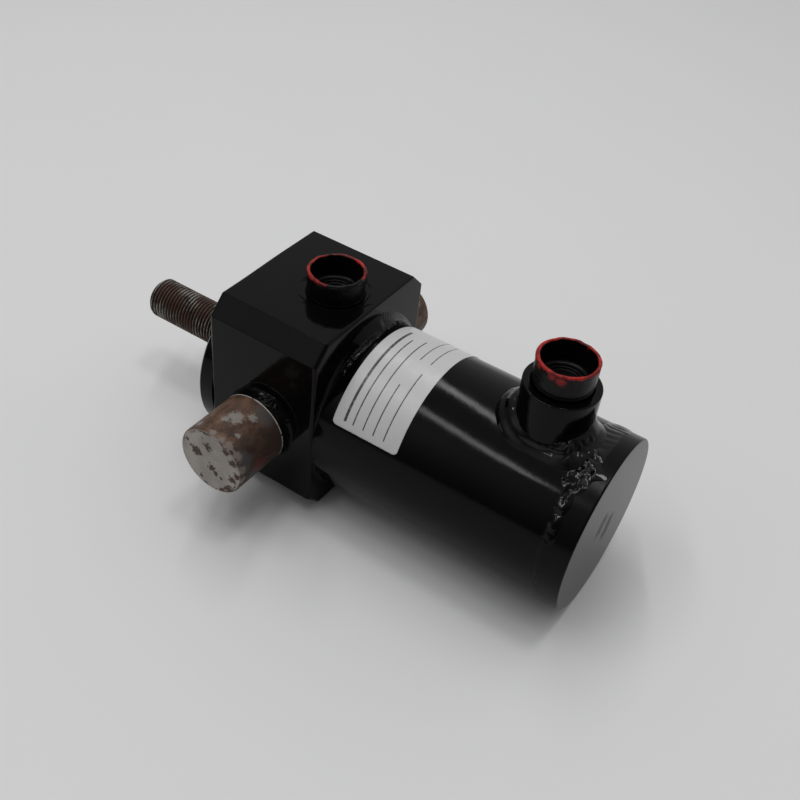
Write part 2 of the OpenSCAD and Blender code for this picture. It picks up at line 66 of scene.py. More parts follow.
def unevenness(points, size, seed, octaves=3):
    """Random height from -1 to 1 at each point: hashed values on a cubic lattice with cells of the given
    size, blended by 3t^2 - 2t^3 along each axis. Every octave halves the cell and the height."""
    total, height, reach = np.zeros(points.shape[:-1]), 1.0, 0.0
    for octave in range(octaves):
        q = points * (2.0**octave / size) + 31.7 * octave
        cell = np.floor(q).astype(np.int64)
        t = q - cell
        t = t * t * (3.0 - 2.0 * t)
        value = np.zeros_like(total)
        for corner in np.ndindex(2, 2, 2):
            c = cell + np.array(corner)
            h = (c[..., 0] * 374761393 + c[..., 1] * 668265263 + c[..., 2] * 974634821
                 + (seed + octave) * 1274126177) & 0xFFFFFFFF
            h = ((h ^ (h >> 13)) * 1274126177) & 0xFFFFFFFF
            weight = np.prod(np.where(np.array(corner) == 1, t, 1.0 - t), axis=-1)
            value += weight * ((h ^ (h >> 16)) & 0xFFFF) / 0xFFFF
        total += height * (2.0 * value - 1.0)
        reach += height
        height *= 0.5
    return total / reach


def ease(value, low, high):
    """0 below low, 1 above high, and 3t^2 - 2t^3 between them."""
    t = np.clip((value - low) / (high - low), 0.0, 1.0)
    return t * t * (3.0 - 2.0 * t)


def hump(value, middle, width):
    """exp(-((value - middle) / width)^2): 1 at the middle and close to 0 at twice the width from it."""
    return np.exp(-((value - middle) / width) ** 2)


def rounded_path(corners, radii, step, arc_steps, closed=False):
    """Line through the corners with every turn swung as an arc. The arc leaves the line at
    radius x tan(half the turn) before its corner. Straights are divided by step, with a point close to
    each end."""
    corners = np.asarray(corners, float)
    count = len(corners)
    pieces = []
    for i in range(count):
        if not closed and i in (0, count - 1):
            pieces.append(corners[i:i + 1])
            continue
        here = corners[i]
        back = corners[i - 1] - here
        ahead = corners[(i + 1) % count] - here
        back, ahead = back / np.linalg.norm(back), ahead / np.linalg.norm(ahead)
        half = math.acos(np.clip(back @ ahead, -1.0, 1.0)) / 2.0
        radius = radii[i]
        if radius == 0.0 or half > 1.56:
            pieces.append(here[None])
            continue
        middle = here + (back + ahead) / np.linalg.norm(back + ahead) * radius / math.sin(half)
        first = here + back * radius / math.tan(half) - middle
        last = here + ahead * radius / math.tan(half) - middle
        t = np.linspace(0.0, 1.0, arc_steps + 1)[:, None]
        sweep = math.pi - 2.0 * half
        pieces.append(middle + (np.sin((1 - t) * sweep) * first + np.sin(t * sweep) * last) / math.sin(sweep))
    path = []
    for i, arc in enumerate(pieces):
        path.append(arc)
        if i + 1 == count and not closed:
            break
        a, b = arc[-1], pieces[(i + 1) % count][0]
        length = np.linalg.norm(b - a)
        if length < 1e-6:
            continue
        near = min(0.25, 0.2 * length)
        cuts = np.concatenate([[near], np.linspace(near, length - near, max(2, int(length / step) + 1))[1:]])
        path.append(a + (b - a) * (cuts / length)[:, None])
    return np.concatenate(path)


def turned(path, steps, origin, axis):
    """Surface of revolution: the path's (height, radius) points are swung round the axis through the origin.
    Returns the points, the normals of the path swung with them, and the angle of each row."""
    axis = np.asarray(axis, float)
    side = np.array([0.0, 0.0, 1.0]) if abs(axis[2]) < 0.5 else np.array([1.0, 0.0, 0.0])
    other = np.cross(axis, side)
    angle = np.linspace(0.0, 2.0 * math.pi, steps, endpoint=False)
    spoke = np.cos(angle)[:, None] * side + np.sin(angle)[:, None] * other
    height, radius = path[:, 0], path[:, 1]
    points = (np.asarray(origin, float) + height[None, :, None] * axis
              + radius[None, :, None] * spoke[:, None, :])
    along = np.gradient(path, axis=0)
    along /= np.maximum(np.linalg.norm(along, axis=1, keepdims=True), 1e-9)
    normals = (along[:, 0][None, :, None] * spoke[:, None, :]
               - along[:, 1][None, :, None] * axis)
    return points, normals, angle


def on_barrel(x, turn, radius):
    """Point at a place along the barrel, a turn in degrees from the top to the near side, and a radius."""
    a = np.radians(turn)
    x, a, radius = np.broadcast_arrays(np.asarray(x, float), a, radius)
    return np.stack([x, -radius * np.sin(a), radius * np.cos(a)], axis=-1)


def run_grid(steps, across):
    """Angles round a closed run, and the angle and the share of the width from 0 to 1 at its points."""
    angle = np.linspace(-math.pi, math.pi, steps, endpoint=False)
    return angle, *np.meshgrid(angle, np.linspace(0.0, 1.0, across), indexing="ij")


def ring_places(angle, radius, height):
    """Points round Z at each angle, with a radius and a height. Random heights of a run are taken there."""
    return np.stack([radius * np.cos(angle), radius * np.sin(angle), height + 0 * angle], axis=-1)


def grid_faces(rows, columns, wrap_rows, wrap_columns, offset):
    """Four-cornered faces between neighbours of a grid. The last row or column is joined to the first on
    request, and the numbers start at the offset."""
    i, j = np.meshgrid(np.arange(rows - (not wrap_rows)), np.arange(columns - (not wrap_columns)),
                       indexing="ij")
    i, j, i1, j1 = i.ravel(), j.ravel(), (i.ravel() + 1) % rows, (j.ravel() + 1) % columns
    return offset + np.stack([i * columns + j, i1 * columns + j, i1 * columns + j1, i * columns + j1], axis=1)


def make_piece(name, patches, finish, body, node=None, uv=None):
    """One mesh from grids of points. A patch is (points, wrap rows, wrap columns); shared edges, seams and
    poles are welded, and the faces turned outwards. It rides on its body and stands for its CAD node."""
    points = np.concatenate([p.reshape(-1, 3) for p, _, _ in patches]) * MM
    starts = np.cumsum([0] + [p.shape[0] * p.shape[1] for p, _, _ in patches])
    faces = np.concatenate([grid_faces(p.shape[0], p.shape[1], a, b, s)
                            for (p, a, b), s in zip(patches, starts)])
    mesh = bpy.data.meshes.new(name)
    mesh.vertices.add(len(points))
    mesh.vertices.foreach_set("co", points.ravel())
    mesh.loops.add(faces.size)
    mesh.loops.foreach_set("vertex_index", faces.ravel())
    mesh.polygons.add(len(faces))
    mesh.polygons.foreach_set("loop_start", np.arange(0, faces.size, 4))
    mesh.update(calc_edges=True)
    if uv is not None:
        layer = mesh.uv_layers.new(name="surface")
        layer.data.foreach_set("uv", uv.reshape(-1, 2)[faces.ravel()].ravel())
    work = bmesh.new()
    work.from_mesh(mesh)
    bmesh.ops.remove_doubles(work, verts=work.verts, dist=2e-6)
    bmesh.ops.dissolve_degenerate(work, edges=work.edges, dist=1e-7)
    bmesh.ops.recalc_face_normals(work, faces=work.faces)
    work.to_mesh(mesh)
    work.free()
    mesh.polygons.foreach_set("use_smooth", np.full(len(mesh.polygons), True))
    mesh.materials.append(finish)
    piece = bpy.data.objects.new(name, mesh)
    bpy.context.scene.collection.objects.link(piece)
    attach(piece, body)
    if node:
        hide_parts(node)


# Finishes

class Nodes:
    """A node tree and short ways to add to it."""

    def __init__(self, tree):
        self.tree = tree

    def add(self, kind, inputs=None, **settings):
        node = self.tree.nodes.new(kind)
        for key, value in settings.items():
            setattr(node, key, value)
        for key, value in (inputs or {}).items():
            if isinstance(value, bpy.types.NodeSocket):
                self.tree.links.new(value, node.inputs[key])
            else:
                node.inputs[key].default_value = value
        return node

    def math(self, operation, a, b=0.0):
        return self.add("ShaderNodeMath", {0: a, 1: b}, operation=operation).outputs[0]

    def times(self, a, b):
        return self.math("MULTIPLY", a, b)

    def plus(self, a, b):
        return self.math("ADD", a, b)


class Finish(Nodes):
    """A procedural material: a Principled shader, Object coordinates, and the nodes that feed it."""

    def __init__(self, name, **sockets):
        self.material = bpy.data.materials.new(name)
        self.material.use_nodes = True
        super().__init__(self.material.node_tree)
        self.shader = self.tree.nodes["Principled BSDF"]
        for socket, value in sockets.items():
            self.shader.inputs[socket.replace("_", " ")].default_value = value
        self.place = self.add("ShaderNodeTexCoord").outputs["Object"]

    def moved(self, location=(0, 0, 0), scale=(1, 1, 1)):
        """Object coordinates about another point, stretched along the axes."""
        return self.add("ShaderNodeMapping", {"Vector": self.place, "Scale": scale,
                                              "Location": location}).outputs["Vector"]

    def noise(self, scale, detail, roughness=0.55, vector=None):
        return self.add("ShaderNodeTexNoise", {
            "Vector": vector or self.place, "Scale": scale, "Detail": detail,
            "Roughness": roughness}).outputs[0]

    def ramp(self, value, low, high, low_out=0.0, high_out=1.0):
        return self.add("ShaderNodeMapRange", {
            "Value": value, "From Min": low, "From Max": high,
            "To Min": low_out, "To Max": high_out}, interpolation_type="SMOOTHSTEP").outputs[0]

    def part(self, axis, vector=None):
        return self.add("ShaderNodeSeparateXYZ", {0: vector or self.place}).outputs[axis]

    def reach(self, scale, location=(0, 0, 0)):
        """Distance from a line or point: the length of the coordinates after scaling out an axis."""
        scaled = self.moved(location, scale)
        return self.add("ShaderNodeVectorMath", {0: scaled}, operation="LENGTH").outputs["Value"]

    def close_to(self, point, radius):
        """1 at a point in millimetres, falling to 0 at the radius."""
        far = self.add("ShaderNodeVectorMath", {0: self.place, 1: [c * MM for c in point]},
                       operation="DISTANCE").outputs["Value"]
        return self.ramp(far, radius * MM, 0.0)

    def broken(self, places, speck, ragged, soft=0.08):
        """Marks at each (point, radius): half strength at the radius, made uneven by a random speck value
        times ragged, and cut at the half with a soft step."""
        near = self.any_of([self.close_to(point, 2.0 * radius) for point, radius in places])
        level = self.plus(near, self.times(self.math("SUBTRACT", speck, 0.5), ragged))
        return self.times(self.ramp(level, 0.5 - soft, 0.5 + soft), self.ramp(near, 0.0, 0.12))

    def any_of(self, masks):
        """The strongest of several masks."""
        total = masks[0]
        for mask in masks[1:]:
            total = self.math("MAXIMUM", total, mask)
        return total

    def mix(self, share, a, b):
        node = self.add("ShaderNodeMix", data_type="RGBA")
        for key, value in ((0, share), (6, a), (7, b)):
            if isinstance(value, bpy.types.NodeSocket):
                self.tree.links.new(value, node.inputs[key])
            else:
                node.inputs[key].default_value = value if key == 0 else (*value, 1.0)
        return node.outputs[2]

    def bump(self, height, distance, under=None):
        inputs = {"Height": height, "Distance": distance, "Strength": 1.0}
        if under:
            inputs["Normal"] = under
        return self.add("ShaderNodeBump", inputs).outputs["Normal"]

    def feed(self, **sockets):
        for socket, value in sockets.items():
            self.tree.links.new(value, self.shader.inputs[socket.replace("_", " ")])
        return self.material


def black_paint(name, peel=1.0, smooth=0.09, vary=0.02, rubbed=(), pooled=0.0):
    """Sprayed gloss enamel: near black with faint cloudiness, a fine grain in the surface and dust. Where it
    pooled, its index of refraction rises by that much towards the top, and where it was rubbed, given as
    (point, radius), it has duller smears."""
    index = 1.22
    f = Finish(name, IOR=index)
    dust = f.ramp(f.noise(2600, 2, 0.6), 0.70, 0.80)
    dusty = f.times(dust, f.ramp(f.noise(120, 3), 0.45, 0.7, 0.0, 0.3))
    colour = f.mix(f.noise(70, 3), (0.0012, 0.0012, 0.0013), (0.0030, 0.0030, 0.0031))
    rough = f.ramp(f.noise(160, 4, 0.6), 0.3, 0.7, smooth - vary, smooth + vary)
    rough = f.plus(rough, f.times(dusty, 0.5))
    if rubbed:
        smears = f.broken(rubbed, f.noise(420, 3, vector=f.moved(scale=(1, 1.6, 0.5))), 0.9, 0.5)
        rough = f.plus(rough, f.times(smears, 0.17))
    fine = f.bump(f.noise(2400, 2, 0.5), 0.000008 * peel)
    if pooled:
        f.feed(IOR=f.ramp(f.part("Z"), 0.014, 0.025, index, index + pooled))
    return f.feed(Base_Color=f.mix(dusty, colour, (0.045, 0.045, 0.043)), Roughness=rough,
                  Normal=f.bump(f.noise(420, 2, 0.4), 0.000012 * peel, under=fine))


# places in millimetres of two smears across the middle of the end cap
CAP_RUBBED = ((-2.3, 3.8), (-3.2, 2.6), (-4.2, 1.4), (5.2, -1.9), (4.6, -3.3), (4.0, -4.7), (3.4, -6.1))

# places in millimetres and radius of the marks on a trunnion pin
END_RUST = ((-6, 1.5, 1.9), (-1, 6, 1.4), (0.5, -2.5, 1.3), (2, -4.2, 0.9), (9.8, -3, 1.4), (8, -8.7, 1.8),
            (-10, 4.7, 0.6), (-3.3, 9, 0.5), (-4.2, -9, 0.7), (-8, -9.9, 0.6), (4.3, -5.2, 0.6),
            (7, 8.4, 1.2), (9.6, 5, 1.2), (11.5, 0, 1.3), (-2, -12, 1.0), (5, -11, 1.2))
# patches of rubbed steel on a pin's side; the ones on its top also stand for a painted highlight
SIDE_WORN_AND_HIGHLIT = ((1.5, 46.8, 12.9, 2.5), (5.2, 42.5, 11.9, 1.5), (-7, 55, 10.9, 1.2), (-11, 43, 6.9, 1.8),
             (-4, 41, -12.4, 2.2), (6, 52, -11.5, 1.8), (-0.6, 49.6, 13, 1.2), (6.5, 51.5, 11, 1.0),
             (-9.5, 53, 8.9, 1.5))
SIDE_GREY = ((12.2, 54.5, 4.2, 3.6), (12.8, 50.5, -2.5, 2.6), (7, 39, 11, 3.0), (-12, 54, -5, 3.2))
RIM_WORN = ((7.3, 56.9, 10.7, 1.8), (4.5, 57.2, 12, 1.5), (10.4, 56.6, 7.6, 1.8), (12.4, 56.8, 2.6, 1.5),
            (0.5, 57.2, 12.8, 1.2), (12.8, 56.9, -1.5, 1.2))


def pin_steel(name, side):
    """Bare pin: brown scale drawn out along the side, with painted shade on one side, and steel rubbed
    through in ragged patches, which on the top of the pin also stand for a painted highlight, and a smear of
    red; a warm grey end face with clusters of rust pits and a broken rim; and a bright line where the paint
    stops at the root. The far pin has the marks and the painted shade turned about its end."""
    def marks(places):
        return [((-side * x, side * y, z), radius) for x, y, z, radius in places]

    f = Finish(name, IOR=1.4)
    out = f.math("ABSOLUTE", f.part("Y"))
    end = f.ramp(out, (PIN_END - 0.4) * MM, (PIN_END - 0.1) * MM)
    grain = f.noise(1500, 4, 0.65)
    speck = f.noise(900, 6, 0.72)
    cloud = f.noise(150, 3, 0.55)
    streak = f.noise(330, 5, 0.66, vector=f.moved(scale=(1, 0.5, 1)))
    scale = f.mix(f.ramp(streak, 0.34, 0.66), (0.052, 0.026, 0.015), (0.180, 0.098, 0.060))
    scale = f.mix(f.ramp(cloud, 0.44, 0.68, 0.0, 0.8), scale, (0.100, 0.062, 0.045))
    # painted shade: the pin's scale is darkened towards one side, towards the end cap on the near pin
    painted_shade = f.ramp(f.times(f.part("X"), -side), 0.003, 0.0120, 0.0, 0.75)
    scale = f.mix(painted_shade, scale, (0.026, 0.015, 0.012))
    grey = f.broken(marks(SIDE_GREY), cloud, 2.0, 0.4)
    scale = f.mix(f.times(grey, 0.7), scale, (0.085, 0.080, 0.078))
    smear = f.broken(marks([(13, 48, -0.5, 2.6)]), cloud, 1.5, 0.4)
    scale = f.mix(f.times(smear, 0.8), scale, (0.110, 0.016, 0.013))
    steel = f.mix(grain, (0.19, 0.17, 0.15), (0.33, 0.305, 0.275))
    # rubbed steel patches; those on the top of the pin also stand for a painted highlight
    worn = f.broken(marks(SIDE_WORN_AND_HIGHLIT), speck, 2.6, 0.22)
    rim = f.broken(marks(RIM_WORN), speck, 2.4, 0.25)
    wall = f.mix(f.times(rim, 0.85), f.mix(worn, scale, steel), (0.23, 0.19, 0.17))
    rust = f.broken(marks([(x, PIN_END, z, radius) for x, z, radius in END_RUST]), speck, 3.8, 0.14)
    across = f.reach((1, 0, 1))
    ring = f.times(f.ramp(across, (PIN_R - 1.7) * MM, (PIN_R - 1.3) * MM),
                   f.ramp(across, (PIN_R - 0.4) * MM, (PIN_R - 0.8) * MM))
    crumbled = f.times(f.ramp(speck, 0.48, 0.56), f.ramp(f.noise(170, 2), 0.45, 0.55))
    crack = f.times(ring, crumbled)
    face = f.mix(f.ramp(cloud, 0.3, 0.7), (0.30, 0.27, 0.245), (0.40, 0.365, 0.335))
    pits = f.math("MAXIMUM", rust, crack)
    face = f.mix(pits, face, (0.060, 0.026, 0.014))
    root = f.ramp(out, (PIN_PAINT + 0.17) * MM, (PIN_PAINT + 0.07) * MM)
    line = f.times(root, f.ramp(f.noise(420, 3), 0.34, 0.44))
    colour = f.mix(line, f.mix(end, wall, face), (0.74, 0.73, 0.71))
    pitted = f.times(pits, end)
    shine = f.times(f.math("SUBTRACT", f.math("MAXIMUM", worn, end), pitted), 0.3)
    return f.feed(Base_Color=colour, Metallic=f.math("MAXIMUM", shine, f.times(line, 0.6)),
                  Roughness=f.ramp(grain, 0.3, 0.75, 0.46, 0.66),
                  Normal=f.bump(f.math("SUBTRACT", speck, pitted), 0.00012, under=f.bump(grain, 0.00004)))


# places in millimetres and radius of the browned zones on the thread, and of the pale zones: those on its top
# are a painted highlight, the others rubbed metal
THREAD_BROWN = ((-69.7, -3.2, 7.2, 4.2), (-64.3, -5.5, 5.6, 4.4), (-54, 1.5, 7.7, 3.4),
                (-50.5, -3.4, 7.1, 3.6), (-57, -7.6, 1.5, 4.0), (-66, 5, -6, 5.0), (-44, -6, -5, 5.0),
                (-72, 6.8, 4, 3.5))
THREAD_PALE = ((-63.5, 0, 7.9, 2.4), (-59, 0.6, 7.9, 3.0), (-76.2, -2, 7.5, 2.4), (-70, -7.8, -0.5, 3.0),
               (-56, 7, -3, 4.0))


def rod_steel():
    """Rod: ground bright bar behind the thread; on the thread thin rubbed crests over nearly black roots,
    which are dark rust deepened by painted shade, with zones of brown rust and pale zones, which are rubbed
    metal and, along the top, a painted highlight."""
    f = Finish("rod_thread_and_bar", IOR=1.5)
    thread = f.ramp(f.part("X"), (THREAD_END + 0.025) * MM, (THREAD_END - 0.125) * MM)
    out = f.reach((0, 1, 1))
    grain = f.noise(1300, 5, 0.7)
    patch = f.noise(330, 4, 0.65)
    ragged_out = f.plus(out, f.times(f.math("SUBTRACT", grain, 0.5), 0.0004))
    crest = f.ramp(ragged_out, (THREAD_CREST_R - 0.16) * MM, THREAD_CREST_R * MM)
    flank = f.ramp(ragged_out, (THREAD_ROOT_R + 0.14) * MM, (THREAD_CREST_R - 0.11) * MM)
    # pale zones: rubbed metal, and on the top of the thread a painted highlight
    brown, pale = (f.broken([(place[:3], place[3]) for place in zones], patch, 1.6, 0.25)
                   for zones in (THREAD_BROWN, THREAD_PALE))
    side = f.mix(f.ramp(patch, 0.35, 0.65), (0.026, 0.016, 0.011), (0.090, 0.054, 0.036))
    side = f.mix(brown, f.mix(pale, side, (0.190, 0.172, 0.150)), (0.085, 0.036, 0.022))
    top = f.mix(f.ramp(patch, 0.36, 0.64), (0.12, 0.085, 0.062), (0.55, 0.50, 0.43))
    top = f.mix(brown, f.mix(pale, top, (0.46, 0.43, 0.39)), (0.140, 0.062, 0.038))
    # nearly black roots and lower flanks: dark rust deepened by painted shade in the grooves
    thread_colour = f.mix(crest, f.mix(flank, (0.0040, 0.0030, 0.0026), side), top)
    bar = f.mix(f.noise(300, 4), (0.60, 0.60, 0.60), (0.70, 0.70, 0.69))
    scratch = f.noise(90, 3, 0.6, vector=f.moved(scale=(60, 1, 1)))
    bar_rough = f.add("ShaderNodeCombineXYZ", {0: f.ramp(scratch, 0.3, 0.7, 0.12, 0.22)}).outputs[0]
    thread_rough = f.add("ShaderNodeCombineXYZ", {0: f.ramp(grain, 0.3, 0.7, 0.38, 0.62)}).outputs[0]
    rough = f.mix(thread, bar_rough, thread_rough)
    metal = f.math("SUBTRACT", 1.0, f.times(thread, f.ramp(crest, 0.0, 1.0, 0.95, 0.45)))
    return f.feed(Base_Color=f.mix(thread, bar, thread_colour), Metallic=metal,
                  Roughness=f.part("X", rough), Normal=f.bump(f.times(thread, grain), 0.00008))


def plug_plastic(name, x, rim_z, gaps, drips):
    """Red moulded plug under black overspray: red shows on the outside of the rim and a ragged edge below it,
    apart from gaps, given as (turn, half width) in degrees, where the paint went over, and in drips at
    (point, radius)."""
    f = Finish(name, IOR=1.26)
    centre = f.moved((-x * MM, 0.0, -rim_z * MM))
    ragged = f.noise(420, 5, 0.65)
    uneven = f.math("SUBTRACT", ragged, 0.5)
    depth = f.plus(f.part("Z", centre), f.times(uneven, 0.0022))
    out = f.plus(f.reach((1, 1, 0), (-x * MM, 0.0, 0.0)), f.times(uneven, 0.0008))
    shown = f.times(f.ramp(depth, -0.00105, -0.00060), f.ramp(out, 0.00890, 0.00915))
    turn = f.math("ARCTAN2", f.part("Y", centre), f.part("X", centre))
    for middle, half in gaps:
        past = f.math("SUBTRACT", turn, math.radians(middle))
        around = f.add("ShaderNodeMath", {0: past, 1: math.pi, 2: -math.pi}, operation="WRAP").outputs[0]
        away = f.plus(f.math("ABSOLUTE", around), f.times(uneven, 0.5))
        shown = f.times(shown, f.ramp(away, math.radians(half) - 0.08, math.radians(half) + 0.16))
    if drips:
        shown = f.math("MAXIMUM", shown, f.times(f.broken(drips, ragged, 1.2, 0.45), 0.85))
    worn = f.times(shown, f.ramp(f.noise(650, 4, 0.7), 0.34, 0.46, 0.45, 1.0))
    red = f.mix(f.ramp(f.noise(210, 4), 0.36, 0.64), (0.150, 0.009, 0.009), (0.44, 0.024, 0.018))
    paint = f.mix(f.noise(90, 3), (0.0014, 0.0014, 0.0015), (0.0034, 0.0034, 0.0034))
    return f.feed(Base_Color=f.mix(worn, paint, red), Roughness=f.ramp(ragged, 0.3, 0.7, 0.24, 0.40),
                  Normal=f.bump(f.plus(f.noise(700, 3), f.times(shown, 0.6)), 0.00006))


# rules on the label in millimetres: middle and half width across it, first and last end round the barrel
LABEL_RULES = ((4.3, 0.55, 2.4, 47.0), (7.6, 0.30, 2.4, 42.0), (11.6, 0.28, 2.4, 45.0),
               (15.6, 0.28, 2.4, 22.0), (19.8, 0.28, 2.4, 29.0), (15.6, 0.24, 34.0, 56.0),
               (19.8, 0.24, 34.0, 54.0))


def label_film():
    """Satin silvered film with plain ruled lines. The map's first axis is the length round the barrel
    from the near end and its second the width from the block, both in millimetres."""
    f = Finish("label_film", IOR=1.5)
    surface = f.add("ShaderNodeUVMap", uv_map="surface").outputs["UV"]
    along, across = f.part("X", surface), f.part("Y", surface)
    rules = []
    for middle, half, first, last in LABEL_RULES:
        off = f.math("ABSOLUTE", f.math("SUBTRACT", across, middle))
        ends = f.times(f.ramp(along, first, first + 0.2), f.ramp(along, last, last - 0.2))
        rules.append(f.times(f.ramp(off, half, half - 0.12), ends))
    ink = f.any_of(rules)
    print_wear = f.ramp(f.noise(900, 3), 0.30, 0.50, 0.75, 1.0)
    film = f.mix(f.noise(60, 3), (0.585, 0.585, 0.583), (0.640, 0.640, 0.637))
    return f.feed(Base_Color=f.mix(f.times(ink, print_wear), film, (0.045, 0.045, 0.048)),
                  Roughness=f.ramp(f.noise(500, 4), 0.3, 0.7, 0.27, 0.35),
                  Normal=f.bump(f.noise(1900, 2), 0.00002))


def plain_finish(name, dark, light, rough, metallic=0.0):
    """Even finish with the grain, tone and gloss changing a little over the surface."""
    f = Finish(name, Metallic=metallic)
    grain = f.noise(500, 4)
    return f.feed(Base_Color=f.mix(grain, dark, light),
                  Roughness=f.ramp(grain, 0.3, 0.7, rough - 0.06, rough + 0.08),
                  Normal=f.bump(f.noise(1500, 3), 0.00003))


def turned_steel(name, dark, light, rough):
    """Lathe-cut metal: fine rings across the axis, tool marks in the gloss and faint staining."""
    f = Finish(name, Metallic=1.0)
    rings = f.noise(60, 2, vector=f.moved(scale=(40, 1, 1)))
    return f.feed(Base_Color=f.mix(f.noise(160, 4), dark, light),
                  Roughness=f.ramp(rings, 0.3, 0.7, rough - 0.08, rough + 0.08),
                  Normal=f.bump(rings, 0.00002))


paint = black_paint("black_enamel")
weld_paint = black_paint("black_enamel_on_welds", pooled=0.06)
thick_paint = black_paint("black_enamel_pooled", smooth=0.085, pooled=0.11)
cap_paint = black_paint("black_enamel_on_cap", peel=0.15, smooth=0.2, vary=0.006,
                        rubbed=[((REAR_FACE, y, z), 2.7) for y, z in CAP_RUBBED])
rod_finish = rod_steel()
film_finish = label_film()
hair_paint = plain_finish("black_paint_hair", (0.0012, 0.0012, 0.0013), (0.0030, 0.0030, 0.0031), 0.85)


# Pieces

def barrel_tube():
    """Tube: a rectangle with rounded edges turned about X, the outside very slightly uneven."""
    path = rounded_path([(BLOCK_X, BORE_R), (BLOCK_X, TUBE_R), (TUBE_END, TUBE_R), (TUBE_END, BORE_R)],
                        [0.2] * 4, 1.6, 3, closed=True)
    points, normals, _ = turned(path, 288, (0, 0, 0), (1, 0, 0))
    outside = (path[:, 1] > TUBE_R - 0.01)[None, :]
    lift = 0.02 * unevenness(points, 14.0, 3, 2) * outside
    make_piece("barrel_tube_painted", [(points + normals * lift[..., None], True, True)],
               paint, BODY, "barrel_tube")


def rear_cap():
    """End cap: disc and spigot turned about X, with a small round on the rim and a faintly uneven face."""
    front, spigot_r = TUBE_END - CAP_SPIGOT, BORE_R - 0.1
    path = rounded_path([(front, 0.0), (front, spigot_r), (TUBE_END, spigot_r),
                         (TUBE_END, TUBE_R), (REAR_FACE, TUBE_R), (REAR_FACE, 0.0)],
                        [0, 0.3, 0.2, 0.2, 0.6, 0], 1.5, 5)
    points, normals, _ = turned(path, 288, (0, 0, 0), (1, 0, 0))
    lift = -0.004 * np.abs(unevenness(points, 22.0, 8, 2))
    make_piece("rear_cap_painted", [(points + normals * lift[..., None], True, False)],
               cap_paint, BODY, "rear_cap")


def block_outline(inset):
    """Outline of the block in Y and Z, chamfered at four corners and rounded, moved inwards by the inset.
    The top side is divided finely, so that the port's mouth comes out round."""
    arc_steps, top_steps = 5, 25
    y, top, low = BLOCK_Y - inset, BLOCK_TOP - inset, BLOCK_LOW + inset
    c = BLOCK_CHAMFER - inset * (2.0 - math.sqrt(2.0))
    corners = [(-y + c, top), (y - c, top), (y, top - c), (y, low + c),
               (y - c, low), (-y + c, low), (-y, low + c), (-y, top - c)]
    path = rounded_path(corners, [0.4] * 8, 1000.0, arc_steps, closed=True)
    first, last = path[arc_steps + 1], path[arc_steps + 2]
    between = first + (last - first) * np.linspace(0.0, 1.0, top_steps + 1)[1:-1, None]
    return np.concatenate([path[:arc_steps + 2], between, path[arc_steps + 2:]])


def head_block():
    """Block: its outline carried along X with quarter-round end edges, rubbed rounder on the near side. The
    end faces are blended from the outline to the bore by straight spokes, and the top face from its
    rectangle to the port, which goes down as a turned wall."""
    edge, bends, lengths = 1.1, 5, 19
    turn = np.linspace(0.0, math.pi / 2.0, bends)
    straight = np.linspace(-(BLOCK_X - edge) + 0.3, BLOCK_X - edge - 0.3, lengths)
    inset = np.concatenate([1.0 - np.sin(turn), np.zeros(lengths), 1.0 - np.sin(turn[::-1])])[:, None]
    back = np.concatenate([1.0 - np.cos(turn), np.zeros(lengths), 1.0 - np.cos(turn[::-1])])[:, None]
    place = np.concatenate([np.full(bends, -BLOCK_X), straight, np.full(bends, BLOCK_X)])[:, None]
    full, small = block_outline(0.0), block_outline(edge)
    share = 0.35 + 0.65 * ease(-full[:, 0], -8.0, 18.0)[None, :]
    loops = full + (small - full) * (inset * share)[..., None]
    x = place - np.sign(place) * edge * back * share
    outer = np.concatenate([x[..., None], loops], axis=-1)

    count, middle = outer.shape[1], loops[bends + 2]
    top = np.flatnonzero(np.isclose(middle[:, 1], BLOCK_TOP, atol=1e-6))
    keep = np.roll(outer, -top[-1], axis=1)[:, :count - len(top) + 2]
    strip = outer[:, top]
    patches = [(p, False, False) for p in (keep, strip[:bends + 1], strip[-bends - 1:])]

    inner = strip[bends:-bends]
    frame_line = np.concatenate([inner[:-1, 0], inner[-1, :-1], inner[:0:-1, -1], inner[0, :0:-1]])
    centre = np.array([HEAD_PORT_X, 0.0, BLOCK_TOP])
    way = frame_line - centre
    way /= np.linalg.norm(way, axis=1, keepdims=True)
    wall = np.array([(0.0, PORT_MOUTH_R), (-0.35, PORT_MOUTH_R - 0.25), (-MOUTH_DEPTH, PORT_R),
                     (-PORT_DEPTH, PORT_R), (-PORT_DEPTH, PASSAGE_R), (-PASSAGE_DEPTH, PASSAGE_R),
                     (-PASSAGE_DEPTH, 0.0)])
    share = np.array([0.0, 0.02, 0.1, 0.3, 0.6, 0.85, 0.97, 1.0])[:, None, None]
    lip = centre + way * (PORT_MOUTH_R + 0.3)
    face = frame_line * (1 - share) + lip * share
    down = centre + way * wall[:, 1][:, None, None] + np.array([0, 0, 1.0]) * wall[:, 0][:, None, None]
    patches.append((np.concatenate([face, down]), False, True))

    for k in (0, -1):
        loop = outer[k]
        spoke = loop[:, 1:] / np.linalg.norm(loop[:, 1:], axis=1, keepdims=True)
        ring = np.concatenate([np.full((count, 1), loop[0, 0]), spoke * BORE_R], axis=1)
        blend = np.array([0.0, 0.04, 0.3, 0.7, 1.0])[:, None, None]
        patches.append((loop * (1 - blend) + ring * blend, False, True))
    spoke = middle / np.linalg.norm(middle, axis=1, keepdims=True) * BORE_R
    bore = np.stack([np.concatenate([np.full((count, 1), end), spoke], axis=1)
                     for end in (outer[0, 0, 0], outer[-1, 0, 0])])
    patches.append((bore, False, True))
    make_piece("head_block_painted", patches, paint, BODY, "head_block")


